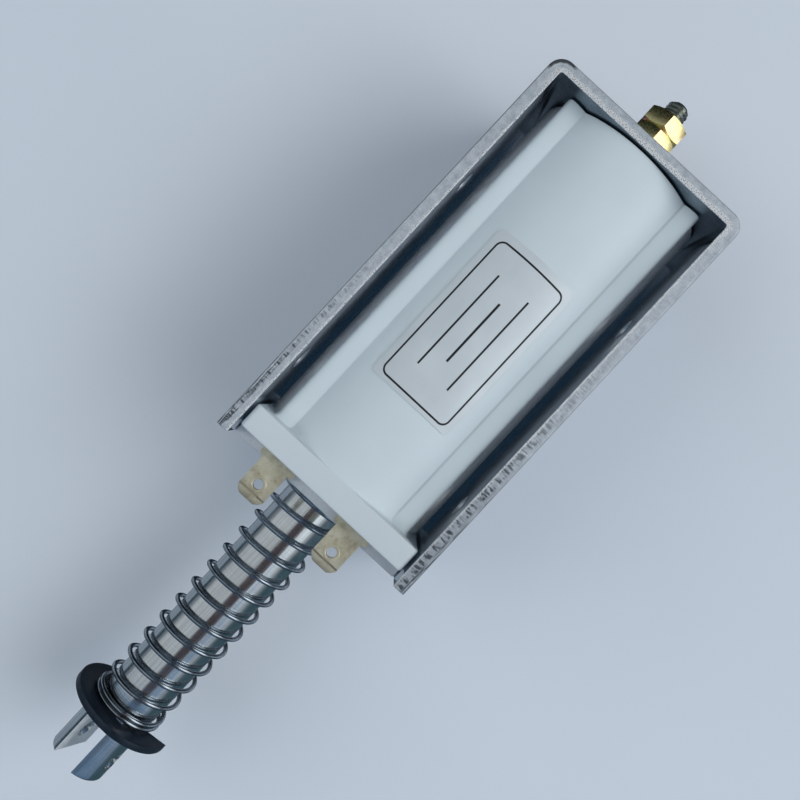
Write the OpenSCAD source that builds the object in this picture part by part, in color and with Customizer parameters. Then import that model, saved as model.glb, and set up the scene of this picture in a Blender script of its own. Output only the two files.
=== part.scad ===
// Push pull solenoid: open steel frame, moulded coil, long sprung plunger with
// a forked nose, and a threaded push rod with a stop and a lock nut behind.
// X runs along the plunger towards the fork, Z is up, the frame stands on Z = 0.

/* [Frame] */
// Outside length of the bent frame along the plunger
frame_len = 72.5; // [70:0.5:80]
// Outside width over the two legs
frame_w = 36.5; // [36.5:0.5:40]
// Width of the steel strip, which is the height of the frame
frame_h = 32; // [32:0.5:36]
// Thickness of the steel strip
strip_t = 2; // [1.6:0.1:2]
// Outside radius of the two rear bends
bend_r = 2.4; // [2.1:0.1:4]
// Spacing of the two tapped holes in each leg
leg_hole_pitch = 36; // [30:1:44]
// Middle of the two holes, from the rear face of the frame
leg_hole_mid = 39.75; // [36:0.25:42]
// Height of the tapped holes above the lower edge of the frame
leg_hole_z = 26; // [24:0.5:27]
// Core diameter of the M4 thread tapped in the legs
leg_hole_d = 3.3; // [3.2:0.05:3.4]

/* [Coil housing] */
// Radius of the moulded coil cylinder
coil_r = 15.4; // [15.2:0.05:15.5]
// Half width of the square shoulders along the coil
shoulder_y = 13.1; // [12:0.1:13.5]
// Height of the shoulders above the coil axis
shoulder_z = 11.7; // [10.8:0.1:11.8]
// Thickness of the front flange
flange_t = 4; // [3.5:0.1:4.5]
// Width of the front flange
flange_w = 31.5; // [30.8:0.1:32]
// Length of the label
label_len = 28; // [24:0.5:30]
// Width of the label, seen from above
label_w = 14.8; // [12:0.1:16]
// Gap between the coil housing and the rear plate
rear_gap = 0.3; // [0.3:0.1:0.8]

/* [Terminals] */
// Width of the spade terminals
tab_w = 4.8; // [4.6:0.1:5]
// Thickness of the spade terminals
tab_t = 0.8; // [0.5:0.1:0.8]
// Length of a terminal in front of the flange
tab_len = 8; // [7:0.1:9]
// Sideways place of the left terminal
tab_y_left = -8; // [-8.2:0.1:-7.2]
// Sideways place of the right terminal
tab_y_right = 6.8; // [6.7:0.1:8]
// Height of the terminals above the coil axis
tab_z = 11.4; // [11.2:0.1:11.6]

/* [Plunger] */
// Diameter of the plunger
plunger_d = 10; // [9.9:0.01:10]
// Plunger length in front of the frame when it is out
plunger_out = 57.5; // [56:0.5:60]
// Plunger length inside the frame when it is out
plunger_in = 22.15; // [20:0.05:24]
// Travel of the plunger
stroke = 25; // [20:1:25]
// Width of the slot in the fork
slot_w = 4.5; // [4:0.1:5]
// Depth of the slot in the fork
slot_depth = 9.5; // [8:0.1:10.5]
// Diameter of the cross hole in the fork
pin_d = 3.2; // [3:0.1:3.5]
// Distance of the cross hole from the tip
pin_from_tip = 4; // [3.5:0.1:4.5]
// Turn of the fork about the plunger axis at rest
fork_roll = 18; // [0:1:45]

/* [Return spring] */
// Wire diameter
wire_d = 0.75; // [0.7:0.05:0.9]
// Outside diameter of the spring
spring_od = 12.5; // [12:0.1:12.6]
// Number of open coils
open_coils = 11.6; // [11:0.1:12]
// Closed coils at the clip end
closed_coils = 1.4; // [1:0.05:1.6]

/* [Clip, nuts and rod] */
// Outside diameter of the E-clip
clip_d = 18.2; // [16:0.1:18.6]
// Thickness of the E-clip
clip_t = 1.1; // [1:0.05:1.2]
// Distance from the fork tip to the far face of the clip
clip_from_tip = 11.5; // [11.3:0.1:12]
// Diameter of the push rod
rod_d = 4; // [3.9:0.01:4]
// Pitch diameter of the free thread at the end of the push rod
thread_d = 3.6; // [3.5:0.05:3.6]
// Length of the rod behind the frame when the plunger is out
rod_out = 13.3; // [13.2:0.1:16]
// Width across the flats of the nuts
nut_af = 7; // [6.8:0.1:7]
// Height of one nut
nut_h = 3.05; // [2.9:0.05:3.2]

/* [Hidden] */
$fn = 96;

total = rod_out + frame_len + plunger_out;
x_back = -total / 2 + rod_out;          // outer face of the rear plate
x_front = x_back + frame_len;           // ends of the legs
x_tip = x_front + plunger_out;          // fork tip
x_rod = -total / 2;                     // tip of the push rod
x_rear_in = x_back + strip_t;           // inner face of the rear plate
x_plate = x_front - strip_t;            // rear face of the front plate
x_flange = x_plate - flange_t;          // rear face of the moulded flange
x_coil = x_rear_in + rear_gap;          // rear end of the coil housing
x_plunger = x_front - plunger_in;       // inner end of the plunger
x_shim = x_plunger - stroke - 0.1;      // front face of the residual shim
axis_z = frame_h / 2;
in_w = frame_w - 2 * strip_t;
x_clip = x_tip - clip_from_tip;         // rear face of the clip
x_nut = x_back - 4.1;                   // front face of the stop nut
tube_r = plunger_d / 2 + 0.05;          // bore of the guide tube
tenon_h = 12;
lead_y = 7;

// Cylinder along X between two stations, on the plunger axis
module rod_x(x0, x1, r) {
    translate([x0, 0, axis_z]) rotate([0, 90, 0]) cylinder(h = x1 - x0, r = r);
}
// Cone along X between two stations, on the plunger axis
module cone_x(x0, x1, r0, r1) {
    translate([x0, 0, axis_z]) rotate([0, 90, 0]) cylinder(h = x1 - x0, r1 = r0, r2 = r1);
}
// Ring along X
module ring_x(x0, x1, r_out, r_in) {
    difference() {
        rod_x(x0, x1, r_out);
        rod_x(x0 - 1, x1 + 1, r_in);
    }
}
// Extrudes a Y-Z outline, drawn about the axis, along X
module along_x(x0, x1) {
    translate([x0, 0, axis_z]) rotate([90, 0, 90]) linear_extrude(height = x1 - x0) children();
}
// Rectangle with round corners, centred
module round_rect(w, h, r) {
    square([w - 2 * r, h], center = true);
    square([w, h - 2 * r], center = true);
    for (sx = [-1, 1], sy = [-1, 1])
        translate([sx * (w / 2 - r), sy * (h / 2 - r)]) circle(r = r, $fn = 48);
}

// U shaped strip seen from above
module yoke_outline() {
    difference() {
        union() {
            translate([x_back + bend_r, -frame_w / 2]) square([frame_len - bend_r, frame_w]);
            translate([x_back, -frame_w / 2 + bend_r]) square([bend_r + 1, frame_w - 2 * bend_r]);
            for (s = [-1, 1])
                translate([x_back + bend_r, s * (frame_w / 2 - bend_r)]) circle(r = bend_r);
        }
        difference() {
            translate([x_rear_in, -in_w / 2]) square([frame_len, in_w]);
            for (s = [-1, 1])
                difference() {
                    translate([x_rear_in - 0.1, s > 0 ? in_w / 2 - 0.4 : -in_w / 2 - 0.1]) square([0.5, 0.5]);
                    translate([x_rear_in + 0.4, s * (in_w / 2 - 0.4)]) circle(r = 0.4, $fn = 32);
                }
        }
    }
}

module yoke_frame() color([0.75, 0.77, 0.79]) difference() {
    linear_extrude(height = frame_h) yoke_outline();
    // seat of the core spigot in the rear plate
    rod_x(x_back - 1, x_rear_in + 1, 4.02);
    // notches for the tenons of the front plate
    for (s = [-1, 1])
        translate([x_plate, s * (frame_w / 2 - strip_t / 2) - strip_t, axis_z - tenon_h / 2])
            cube([strip_t + 1, 2 * strip_t, tenon_h]);
    // tapped fixing holes in the legs
    for (s = [-1, 1], t = [-1, 1])
        translate([x_back + leg_hole_mid + t * leg_hole_pitch / 2, s * (frame_w / 2 - strip_t / 2) - strip_t, leg_hole_z])
            rotate([-90, 0, 0]) cylinder(h = 2 * strip_t, d = leg_hole_d);
}

module front_plate() color([0.80, 0.82, 0.84]) difference() {
    along_x(x_plate, x_front) {
        square([in_w - 0.4, 21.2], center = true);
        square([frame_w - 0.2, tenon_h - 0.1], center = true);
    }
    rod_x(x_plate - 1, x_front + 1, tube_r + 0.47);
}

module coil_housing() color([0.90, 0.92, 0.93]) difference() {
    union() {
        rod_x(x_coil, x_flange + 0.5, coil_r);
        along_x(x_coil, x_flange + 0.5) round_rect(2 * shoulder_y, 2 * shoulder_z, 1);
        along_x(x_flange, x_plate) round_rect(flange_w, 2 * coil_r, 0.7);
        // ribs that blend the shoulders into the flange
        for (s = [-1, 1], t = [-1, 1])
            translate([0, 0, axis_z]) rotate([90, 0, 0])
                translate([0, 0, s * (shoulder_y - 0.6) - 0.6]) linear_extrude(height = 1.2)
                    polygon([[x_flange - 1.6, t * (shoulder_z - 0.5)], [x_flange - 1.6, t * shoulder_z],
                             [x_flange + 0.2, t * (shoulder_z + 1.8)], [x_flange + 0.2, t * (shoulder_z - 0.5)]]);
    }
    // chamber for the bobbin and winding, open at the rear
    rod_x(x_coil - 1, x_flange, 14.05);
    rod_x(x_flange - 1, x_plate + 1, 6.75);
    // pockets for the terminals and the lead holes behind them
    for (y = [tab_y_left, tab_y_right])
        translate([x_flange + 0.85, y - 3.22, axis_z + tab_z - 0.02])
            cube([flange_t, 6.44, tab_t + 0.04]);
    for (y = [-lead_y, lead_y])
        translate([x_flange - 1, y, axis_z + tab_z + tab_t / 2])
            rotate([0, 90, 0]) cylinder(h = 2, r = 0.3, $fn = 32);
}

module bobbin() color([0.86, 0.86, 0.82]) difference() {
    union() {
        rod_x(x_coil, x_plate - 0.02, 6.7);
        rod_x(x_coil, x_coil + 1.6, 14);
        rod_x(x_flange - 1.75, x_flange - 0.05, 13.45);
    }
    rod_x(x_coil - 1, x_plate + 1, 5.52);
}

module winding() color([0.72, 0.38, 0.20])
    ring_x(x_coil + 1.65, x_flange - 1.8, 13.15, 6.72);

module winding_tape() color([0.93, 0.78, 0.25])
    ring_x(x_coil + 1.65, x_flange - 3.4, 13.4, 13.17);

// Lead of the winding: a run along the coil and a short dip to the copper
module lead(y) {
    dz = tab_z + tab_t / 2;
    r_at = sqrt(y * y + dz * dz);
    union() {
        translate([x_flange - 3, y, axis_z + dz]) rotate([0, 90, 0]) cylinder(h = 3.84, r = 0.24, $fn = 32);
        translate([x_flange - 2.55, 0, axis_z]) rotate([-atan2(y, dz), 0, 0])
            translate([0, 0, 13.18]) cylinder(h = r_at - 13.18 - 0.05, r = 0.16, $fn = 32);
    }
}
module start_lead() color([0.80, 0.20, 0.15]) lead(-lead_y);
module finish_lead() color([0.80, 0.20, 0.15]) lead(lead_y);

// Spade terminal with a wide base, cut corners and a latching hole
module terminal(y) {
    x0 = x_flange + 0.86;
    x1 = x_plate + tab_len;
    translate([0, y, axis_z + tab_z]) difference() {
        union() {
            linear_extrude(height = tab_t) difference() {
                union() {
                    translate([x0, -3.2]) square([x_plate + 1.5 - x0, 6.4]);
                    translate([x0, -tab_w / 2]) square([x1 - x0, tab_w]);
                }
                for (s = [-1, 1])
                    translate([x1, s * tab_w / 2]) rotate(45) square(1.5, center = true);
            }
            translate([x1 - 2.8, 0, tab_t - 0.1]) cylinder(h = 0.22, r = 1.25, $fn = 48);
        }
        translate([x1 - 2.8, 0, -1]) cylinder(h = 3, r = 0.8, $fn = 48);
    }
}
module terminal_left() color([0.72, 0.68, 0.52]) terminal(tab_y_left);
module terminal_right() color([0.72, 0.68, 0.52]) terminal(tab_y_right);

module guide_tube() color([0.80, 0.68, 0.38])
    ring_x(x_rear_in + 0.02, x_front, 5.5, tube_r);

// Fixed pole: a spigot staked in the rear plate, bored for the push rod
module fixed_core() color([0.62, 0.64, 0.66]) difference() {
    union() {
        rod_x(x_rear_in, x_shim - 0.4, tube_r - 0.01);
        rod_x(x_back, x_rear_in + 0.5, 4);
        cone_x(x_back - 0.3, x_back, 4, 4.5);
    }
    rod_x(x_back - 1, x_shim + 1, 2.25);
    rod_x(x_back - 1, x_back + 6, 3.02);
}

module rod_bush() color([0.70, 0.52, 0.28]) difference() {
    union() {
        rod_x(x_back - 0.3, x_back + 5.9, 3);
        rod_x(x_back - 1.3, x_back - 0.3, 4.4);
    }
    rod_x(x_back - 2, x_back + 7, rod_d / 2 + 0.05);
}

module residual_shim() color([0.82, 0.70, 0.40]) ring_x(x_shim - 0.4, x_shim, 4.8, 2.3);

module coil_pad() color([0.35, 0.33, 0.30]) ring_x(x_rear_in, x_coil, 12, 5.6);

module rating_label() color([0.78, 0.80, 0.82]) intersection() {
    ring_x(x_coil + 20, x_flange - 10, coil_r + 0.13, coil_r + 0.01);
    translate([x_rear_in + 35.75, 0, axis_z]) linear_extrude(height = coil_r + 2) round_rect(label_len, label_w, 0.8);
}

// Station of the wire after t turns, counted from where the coils open
spring_dead = 0.75;
spring_start = x_front + 0.05 + wire_d / 2;
spring_open = x_front + 1.25;
spring_close = x_clip - 0.05 - wire_d / 2 - closed_coils * (wire_d + 0.02);
function spring_x(t) =
    t < 0 ? spring_open + t * (spring_open - spring_start) / spring_dead
    : t < open_coils ? spring_open + t * (spring_close - spring_open) / open_coils
    : spring_close + (t - open_coils) * (wire_d + 0.02);
module return_spring() color([0.80, 0.81, 0.83]) {
    steps = 20;
    sides = 6;
    rc = (spring_od - wire_d) / 2;
    t0 = -spring_dead;
    n = round((open_coils + closed_coils - t0) * steps);
    pts = [for (i = [0:n]) let (t = t0 + (open_coils + closed_coils - t0) * i / n, a = 180 + 360 * t)
        for (j = [0:sides - 1]) let (b = 30 + 360 * j / sides, r = rc + wire_d / 2 * cos(b))
            [spring_x(t) + wire_d / 2 * sin(b), r * cos(a), axis_z + r * sin(a)]];
    faces = concat(
        [[for (j = [0:sides - 1]) j]],
        [for (i = [0:n - 1], j = [0:sides - 1]) let (k = (j + 1) % sides)
            [i * sides + j, (i + 1) * sides + j, (i + 1) * sides + k]],
        [for (i = [0:n - 1], j = [0:sides - 1]) let (k = (j + 1) % sides)
            [i * sides + j, (i + 1) * sides + k, i * sides + k]],
        [[for (j = [0:sides - 1]) n * sides + sides - 1 - j]]);
    polyhedron(points = pts, faces = faces, convexity = 8);
}

module stop_bumper() color([0.10, 0.10, 0.11]) ring_x(x_nut + 0.8, x_back - 1.3, 4.4, 2.1);
module stop_washer() color([0.75, 0.76, 0.78]) ring_x(x_nut, x_nut + 0.8, 4.5, 2.15);

// Hexagon nut with one corner up and both ends chamfered
module hex_nut(x0) {
    rc = nut_af / sqrt(3);
    difference() {
        intersection() {
            along_x(x0, x0 + nut_h) rotate(90) circle(r = rc, $fn = 6);
            union() {
                cone_x(x0, x0 + 0.4, rc - 0.7, rc + 0.02);
                rod_x(x0 + 0.4, x0 + nut_h - 0.4, rc + 0.02);
                cone_x(x0 + nut_h - 0.4, x0 + nut_h, rc + 0.02, rc - 0.7);
            }
        }
        rod_x(x0 - 1, x0 + nut_h + 1, rod_d / 2 + 0.02);
    }
}
module stop_nut() color([0.85, 0.68, 0.35]) hex_nut(x_nut - nut_h);
module lock_nut() color([0.85, 0.68, 0.35]) hex_nut(x_nut - 2 * nut_h);

// Rod with the free end of its thread drawn as a plain pin
module push_rod() color([0.25, 0.26, 0.28]) union() {
    rod_x(x_nut - 2 * nut_h, x_plunger + 9.9, rod_d / 2);
    rod_x(x_rod + 0.4, x_nut - 2 * nut_h + 0.5, thread_d / 2);
    cone_x(x_rod, x_rod + 0.4, thread_d / 2 - 0.4, thread_d / 2);
}

module plunger() color([0.78, 0.80, 0.82]) difference() {
    union() {
        cone_x(x_plunger, x_plunger + 0.4, plunger_d / 2 - 0.4, plunger_d / 2);
        rod_x(x_plunger + 0.4, x_tip - 0.3, plunger_d / 2);
        cone_x(x_tip - 0.3, x_tip, plunger_d / 2, plunger_d / 2 - 0.3);
    }
    // groove for the clip
    ring_x(x_clip - 0.04, x_clip + clip_t + 0.04, plunger_d, plunger_d / 2 - 0.5);
    // threaded socket for the push rod
    rod_x(x_plunger - 1, x_plunger + 10, rod_d / 2 + 0.02);
    // slot and cross hole of the fork
    translate([0, 0, axis_z]) rotate([fork_roll, 0, 0]) {
        translate([x_tip - slot_depth, -slot_w / 2, -plunger_d]) cube([slot_depth + 1, slot_w, 2 * plunger_d]);
        translate([x_tip - pin_from_tip, plunger_d, 0]) rotate([90, 0, 0]) cylinder(h = 2 * plunger_d, d = pin_d);
    }
}

// E-clip: three pads on the groove, reliefs between them and an open mouth
module e_clip() color([0.10, 0.10, 0.11])
    along_x(x_clip, x_clip + clip_t) rotate(-28) difference() {
        circle(r = clip_d / 2);
        circle(r = plunger_d / 2 - 0.48);
        // mouth, a little wider outside than at the groove
        polygon([[0, -3.9], [3, -3.9], [10, -5.9], [10, 5.9], [3, 3.9], [0, 3.9]]);
        // reliefs between the pads
        for (s = [-1, 1]) rotate(s * 105) {
            translate([0, -1.3]) square([4.7, 2.6]);
            translate([4.7, 0]) circle(r = 1.3, $fn = 48);
        }
    }

yoke_frame();
front_plate();
coil_housing();
bobbin();
winding();
winding_tape();
start_lead();
finish_lead();
terminal_left();
terminal_right();
guide_tube();
fixed_core();
rod_bush();
residual_shim();
coil_pad();
rating_label();
return_spring();
stop_bumper();
stop_washer();
stop_nut();
lock_nut();
push_rod();
plunger();
e_clip();
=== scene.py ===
import math
import bmesh
import bpy
import numpy as np
from mathutils import Matrix, Vector

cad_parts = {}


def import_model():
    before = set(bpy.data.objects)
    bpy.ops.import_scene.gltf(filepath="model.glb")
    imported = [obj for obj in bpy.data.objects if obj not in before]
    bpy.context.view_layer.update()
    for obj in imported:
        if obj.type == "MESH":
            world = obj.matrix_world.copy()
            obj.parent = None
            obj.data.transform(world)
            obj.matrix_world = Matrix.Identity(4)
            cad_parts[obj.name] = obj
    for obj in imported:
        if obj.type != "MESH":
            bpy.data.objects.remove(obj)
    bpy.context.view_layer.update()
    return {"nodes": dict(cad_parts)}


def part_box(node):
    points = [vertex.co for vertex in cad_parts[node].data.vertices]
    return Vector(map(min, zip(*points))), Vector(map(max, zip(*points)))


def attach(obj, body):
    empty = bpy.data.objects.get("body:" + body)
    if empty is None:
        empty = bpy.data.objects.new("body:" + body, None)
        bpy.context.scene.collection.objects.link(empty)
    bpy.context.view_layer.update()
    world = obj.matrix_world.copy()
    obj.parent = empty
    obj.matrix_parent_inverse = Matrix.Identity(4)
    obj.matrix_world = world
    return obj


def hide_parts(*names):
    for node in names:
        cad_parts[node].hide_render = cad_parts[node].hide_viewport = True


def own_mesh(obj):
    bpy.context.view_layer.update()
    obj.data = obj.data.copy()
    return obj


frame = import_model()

RNG = np.random.default_rng(20481)
PI2 = 2 * math.pi


# ---------------------------------------------------------------- stations, in mm
def mm(node):
    lo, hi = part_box(node)
    return [c * 1000 for c in lo], [c * 1000 for c in hi]


(YL, YH) = mm("yoke_frame")
X_BACK, X_FRONT = YL[0], YH[0]
FRAME_W, FRAME_H = YH[1] - YL[1], YH[2] - YL[2]
AZ = FRAME_H / 2
(PL, PH) = mm("front_plate")
X_PLATE = PL[0]
T = PH[0] - PL[0]
IN_W = FRAME_W - 2 * T
BEND_R = 2.4
(HL, HH) = mm("coil_housing")
X_COIL = HL[0]
COIL_R = (HH[2] - HL[2]) / 2
FLANGE_W = HH[1] - HL[1]
FLANGE_T = 4.0
X_FLANGE = X_PLATE - FLANGE_T
(GL, GH) = mm("plunger")
X_PLUNGER, X_TIP = GL[0], GH[0]
PR = (GH[1] - GL[1]) / 2
(CL, CH) = mm("e_clip")
X_CLIP, CLIP_T = CL[0], CH[0] - CL[0]
CLIP_R = CH[2] - AZ
(RL, RH) = mm("push_rod")
X_ROD, X_ROD_IN = RL[0], RH[0]
ROD_R = (RH[1] - RL[1]) / 2
(NL, NH) = mm("stop_nut")
(ML, MH) = mm("lock_nut")
NUT_AF = NH[1] - NL[1]
(WL, WH) = mm("stop_washer")
(BL, BH) = mm("stop_bumper")
(SL, SH) = mm("return_spring")
SPRING_OD = 12.5
WIRE = 0.75
ROLL = math.radians(18)
SLOT_W, SLOT_D, PIN_D, PIN_X = 4.5, 9.5, 3.2, 4.0
SHOULDER_Y, SHOULDER_Z = 13.1, 11.7


# ---------------------------------------------------------------- camera
def camera():
    cam = bpy.data.objects.new("camera", bpy.data.cameras.new("camera"))
    bpy.context.scene.collection.objects.link(cam)
    a = math.radians(47.11)
    right = Vector((-math.cos(a), math.sin(a), 0))
    up = Vector((-math.sin(a), -math.cos(a), 0))
    back = right.cross(up)
    m = Matrix((right, up, back)).transposed().to_4x4()
    m.translation = Vector((-0.00606, -0.00114, 0.156))
    cam.matrix_world = m
    cam.data.sensor_width = 36.0
    cam.data.lens = 865.3 / 800 * 36.0
    cam.data.clip_start = 0.005
    cam.data.clip_end = 20
    bpy.context.scene.camera = cam
    return cam


camera()


# ---------------------------------------------------------------- mesh helpers, all in mm
def new_object(name, verts, faces):
    me = bpy.data.meshes.new(name)
    me.from_pydata([tuple(float(c) for c in v) for v in verts], [], [tuple(int(i) for i in f) for f in faces])
    me.update()
    o = bpy.data.objects.new(name, me)
    bpy.context.scene.collection.objects.link(o)
    return o


def recalc(o):
    bm = bmesh.new()
    bm.from_mesh(o.data)
    bmesh.ops.recalc_face_normals(bm, faces=bm.faces)
    bm.to_mesh(o.data)
    bm.free()
    o.data.update()


def grid_faces(rings, n, closed_u=True, base=0):
    f = []
    for i in range(rings - 1):
        for j in range(n if closed_u else n - 1):
            k = (j + 1) % n
            f.append((base + i * n + j, base + i * n + k, base + (i + 1) * n + k, base + (i + 1) * n + j))
    return f


def lathe(name, profile, seg=96, closed=False, axis_y=0.0, axis_z=None):
    """Turns (x, r) points round the plunger axis. closed joins the last point to the first, as for a ring."""
    az = AZ if axis_z is None else axis_z
    verts, faces = [], []
    n = seg
    for x, r in profile:
        for j in range(n):
            t = PI2 * j / n
            verts.append((x, axis_y + r * math.cos(t), az + r * math.sin(t)))
    m = len(profile)
    faces += grid_faces(m, n)
    if closed:
        for j in range(n):
            k = (j + 1) % n
            faces.append(((m - 1) * n + j, (m - 1) * n + k, k, j))
    else:
        faces.append(tuple(range(n)))
        faces.append(tuple((m - 1) * n + j for j in reversed(range(n))))
    o = new_object(name, verts, faces)
    recalc(o)
    return o


def ring_profile(x0, x1, r_out, r_in, b):
    """Rectangle with rounded outer corners, for a washer or bush."""
    p = []
    for cx, cr, a0 in ((x0 + b, r_out - b, 180), (x1 - b, r_out - b, 90)):
        for i in range(5):
            a = math.radians(a0 - 90 * i / 4)
            p.append((cx + b * math.cos(a), cr + b * math.sin(a)))
    c = min(b, 0.12)
    p += [(x1, r_in + c), (x1 - c, r_in), (x0 + c, r_in), (x0, r_in + c)]
    return p


def prism(name, pts, lo, hi, plane="YZ"):
    """Extrudes an outline. YZ runs along X, XY along Z."""
    n = len(pts)
    if plane == "YZ":
        v = [(lo, p[0], p[1]) for p in pts] + [(hi, p[0], p[1]) for p in pts]
    else:
        v = [(p[0], p[1], lo) for p in pts] + [(p[0], p[1], hi) for p in pts]
    f = [tuple(range(n)), tuple(reversed(range(n, 2 * n)))]
    f += [(j, n + j, n + (j + 1) % n, (j + 1) % n) for j in range(n)]
    o = new_object(name, v, f)
    recalc(o)
    return o


def box_mesh(name, lo, hi):
    return prism(name, [(lo[0], lo[1]), (hi[0], lo[1]), (hi[0], hi[1]), (lo[0], hi[1])], lo[2], hi[2], "XY")


def bake_modifiers(o):
    dg = bpy.context.evaluated_depsgraph_get()
    dg.update()
    me = bpy.data.meshes.new_from_object(o.evaluated_get(dg), preserve_all_data_layers=True, depsgraph=dg)
    o.modifiers.clear()
    old = o.data
    o.data = me
    bpy.data.meshes.remove(old)
    return o


def boolean(o, cutter, op="DIFFERENCE"):
    m = o.modifiers.new("cut", "BOOLEAN")
    m.operation = op
    m.solver = "EXACT"
    m.object = cutter
    bpy.context.view_layer.update()
    bake_modifiers(o)
    bpy.data.objects.remove(cutter)
    return o


def bevel(o, width, segments=2, angle=35):
    m = o.modifiers.new("edge", "BEVEL")
    m.width = width
    m.segments = segments
    m.limit_method = "ANGLE"
    m.angle_limit = math.radians(angle)
    m.miter_outer = "MITER_ARC"
    m.use_clamp_overlap = True
    bpy.context.view_layer.update()
    return bake_modifiers(o)


def tidy(o, dist=1e-4, dissolve=0.0):
    bm = bmesh.new()
    bm.from_mesh(o.data)
    bmesh.ops.remove_doubles(bm, verts=bm.verts, dist=dist)
    if dissolve:
        bmesh.ops.dissolve_limit(bm, angle_limit=math.radians(dissolve), verts=bm.verts, edges=bm.edges)
    bm.to_mesh(o.data)
    bm.free()


def done(o, body, nodes=(), mats=(), sharp=28, smooth=True):
    """Scales a piece from mm to metres, shades it, and ties it to the frame."""
    o.data.transform(Matrix.Scale(0.001, 4))
    bm = bmesh.new()
    bm.from_mesh(o.data)
    for f in bm.faces:
        f.smooth = smooth
    lim = math.radians(sharp)
    for e in bm.edges:
        e.smooth = len(e.link_faces) == 2 and e.calc_face_angle(0) < lim
    bm.to_mesh(o.data)
    bm.free()
    o.data.update()
    if mats:
        o.data.materials.clear()
        for m in mats:
            o.data.materials.append(m)
    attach(o, body)
    if nodes:
        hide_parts(*nodes)
    return o


# ---------------------------------------------------------------- node helpers
class Tree:
    def __init__(self, name):
        self.m = bpy.data.materials.new(name)
        self.m.use_nodes = True
        self.t = self.m.node_tree
        self.t.nodes.clear()
        self.out = self.t.nodes.new("ShaderNodeOutputMaterial")
        self.p = self.t.nodes.new("ShaderNodeBsdfPrincipled")
        self.t.links.new(self.p.outputs[0], self.out.inputs[0])
        self.co = self.t.nodes.new("ShaderNodeTexCoord").outputs["Object"]

    def put(self, socket, v):
        if isinstance(v, bpy.types.NodeSocket):
            self.t.links.new(v, socket)
        elif v is not None:
            if socket.type == "RGBA" and len(v) == 3:
                v = (*v, 1)
            socket.default_value = v

    def set(self, **kw):
        names = {
            "color": "Base Color", "rough": "Roughness", "metal": "Metallic", "normal": "Normal", "spec": "Specular IOR Level",
            "sss": "Subsurface Weight", "sss_radius": "Subsurface Radius", "sss_scale": "Subsurface Scale", "coat": "Coat Weight",
            "coat_rough": "Coat Roughness", "ior": "IOR", "aniso": "Anisotropic", "tangent": "Tangent",
        }
        for k, v in kw.items():
            self.put(self.p.inputs[names[k]], v)
        return self.m

    def math(self, op, a, b=0.0, c=0.0, clamp=False):
        n = self.t.nodes.new("ShaderNodeMath")
        n.operation = op
        n.use_clamp = clamp
        self.put(n.inputs[0], a)
        self.put(n.inputs[1], b)
        self.put(n.inputs[2], c)
        return n.outputs[0]

    def stretch(self, sx, sy, sz, src=None):
        n = self.t.nodes.new("ShaderNodeMapping")
        self.put(n.inputs["Vector"], src or self.co)
        n.inputs["Scale"].default_value = (sx, sy, sz)
        return n.outputs[0]

    def noise(self, scale, detail=4, rough=0.55, vec=None, dist=0.0):
        n = self.t.nodes.new("ShaderNodeTexNoise")
        self.put(n.inputs["Vector"], vec or self.co)
        n.inputs["Scale"].default_value = scale
        n.inputs["Detail"].default_value = detail
        n.inputs["Roughness"].default_value = rough
        n.inputs["Distortion"].default_value = dist
        return n.outputs["Fac"]

    def voronoi(self, scale, vec=None, feature="F1", rand=1.0):
        n = self.t.nodes.new("ShaderNodeTexVoronoi")
        n.feature = feature
        self.put(n.inputs["Vector"], vec or self.co)
        n.inputs["Scale"].default_value = scale
        n.inputs["Randomness"].default_value = rand
        return n.outputs["Distance"]

    def ramp(self, fac, stops, mode="LINEAR"):
        n = self.t.nodes.new("ShaderNodeValToRGB")
        self.put(n.inputs[0], fac)
        n.color_ramp.interpolation = mode
        e = n.color_ramp.elements
        while len(e) > 1:
            e.remove(e[0])
        e[0].position = stops[0][0]
        for i, (p, c) in enumerate(stops):
            el = e[0] if i == 0 else e.new(p)
            el.color = (*c, 1) if isinstance(c, tuple) else (c, c, c, 1)
        return n.outputs[0]

    def range(self, fac, lo, hi, a=0.0, b=1.0):
        n = self.t.nodes.new("ShaderNodeMapRange")
        self.put(n.inputs["Value"], fac)
        n.inputs["From Min"].default_value = lo
        n.inputs["From Max"].default_value = hi
        n.inputs["To Min"].default_value = a
        n.inputs["To Max"].default_value = b
        return n.outputs[0]

    def mix(self, fac, a, b, blend="MIX"):
        n = self.t.nodes.new("ShaderNodeMix")
        n.data_type = "RGBA"
        n.blend_type = blend
        self.put(n.inputs[0], fac)
        self.put(n.inputs[6], a)
        self.put(n.inputs[7], b)
        return n.outputs[2]

    def bump(self, height, strength=0.3, dist=0.0001, normal=None):
        n = self.t.nodes.new("ShaderNodeBump")
        self.put(n.inputs["Height"], height)
        n.inputs["Strength"].default_value = strength
        n.inputs["Distance"].default_value = dist
        if normal is not None:
            self.put(n.inputs["Normal"], normal)
        return n.outputs[0]

    def xyz(self, src=None):
        n = self.t.nodes.new("ShaderNodeSeparateXYZ")
        self.put(n.inputs[0], src or self.co)
        return n.outputs

    def uv(self, name):
        n = self.t.nodes.new("ShaderNodeUVMap")
        n.uv_map = name
        return n.outputs[0]


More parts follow.
